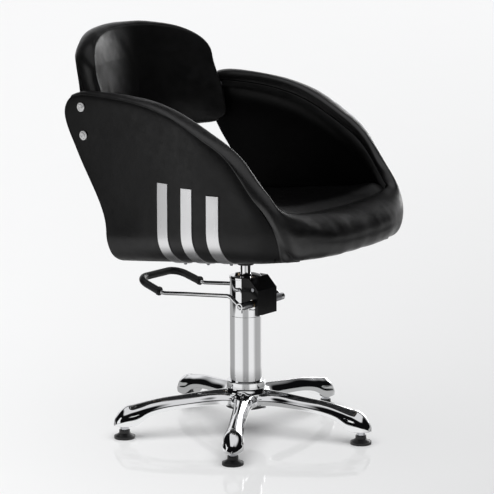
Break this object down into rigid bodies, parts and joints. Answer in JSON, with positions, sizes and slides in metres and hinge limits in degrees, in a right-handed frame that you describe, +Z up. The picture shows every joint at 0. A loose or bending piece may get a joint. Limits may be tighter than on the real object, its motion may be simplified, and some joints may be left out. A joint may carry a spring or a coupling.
{
  "type": "hydraulic styling chair",
  "caption": "Swivelling salon styling chair: padded tub seat and separate curved backrest on a foot-pumped chrome column with a star base on glides.",
  "frame": {"origin": "on the floor, at the centre of the circle of the five glides, under the column's axis", "axes": "+Z up, -Y the way the sitter faces, +X the sitter's left-hand side"},
  "size_m": [0.6056, 0.7492, 0.937],
  "materials": {
    "chrome": "mirror-bright plating",
    "plain_steel": "machined steel",
    "zinc_steel": "zinc-plated steel",
    "brushed_steel": "brushed lengthwise",
    "black_steel": "black powder coat",
    "black_plastic": "moulded black plastic",
    "black_rubber": "moulded rubber",
    "bronze": "bearing bronze",
    "plywood": "birch plywood",
    "black_cloth": "thin woven cloth",
    "black_leather": "smooth satin upholstery leather over foam"
  },
  "bodies": {
    "base": {"base_star": "chrome", "glide_feet": "black_plastic", "glide_stems": "zinc_steel", "foot_flange": "black_steel", "flange_bolts": "zinc_steel", "column_tube": "chrome", "pump_cylinder": "plain_steel", "pump_head": "chrome", "head_cap": "chrome", "gland_bush": "bronze", "rod_wiper": "black_rubber", "shaft_bushes": "bronze", "pump_cover": "black_steel", "cover_screws": "zinc_steel", "return_spring": "plain_steel"},
    "lift": {"piston_head": "plain_steel", "piston_seal": "black_rubber", "thrust_washer": "bronze"},
    "seat": {"piston_rod": "chrome", "rod_circlip": "zinc_steel", "seat_bracket": "black_steel", "bracket_bolts": "zinc_steel", "dust_cover": "black_cloth", "seat_board": "plywood", "seat_cushion": "black_leather", "front_lip": "black_leather", "side_shell_left": "plywood", "side_shell_right": "plywood", "side_cover_left": "black_leather", "side_cover_right": "black_leather", "inner_pad_left": "black_leather", "inner_pad_right": "black_leather", "arm_band_left": "black_leather", "arm_band_right": "black_leather", "rear_panel": "black_leather", "backrest_board": "plywood", "backrest_straps": "plain_steel", "backrest_cushion": "black_leather", "ear_bolts": "chrome", "ear_washers": "chrome", "ear_spacers": "zinc_steel", "trim_strips_left": "brushed_steel", "trim_strips_right": "brushed_steel", "strip_screws": "zinc_steel"},
    "pedal": {"pedal_bar": "chrome", "pedal_grip": "black_rubber", "pedal_shaft": "plain_steel", "pedal_crank": "plain_steel", "pedal_bolts": "chrome"},
    "plunger": {"pump_plunger": "plain_steel"}
  },
  "joints": [
    {"name": "lift_slide", "type": "slide", "parent": "base", "child": "lift", "axis": [0, 0, 1], "range_m": [-0.02, 0.13]},
    {"name": "seat_swivel", "type": "hinge", "parent": "lift", "child": "seat", "pos_m": [0, 0, 0.122], "axis": [0, 0, 1], "continuous": true},
    {"name": "pedal_hinge", "type": "hinge", "parent": "base", "child": "pedal", "pos_m": [0, -0.045, 0.317], "axis": [1, 0, 0], "range_deg": [-18, 6]},
    {"name": "plunger_slide", "type": "slide", "parent": "base", "child": "plunger", "axis": [0, 0, 1], "range_m": [-0.0055, 0.0022]}
  ],
  "couplings": [
    {"joint": "plunger_slide", "follows": "pedal_hinge", "m_per_rad": 0.0155}
  ]
}
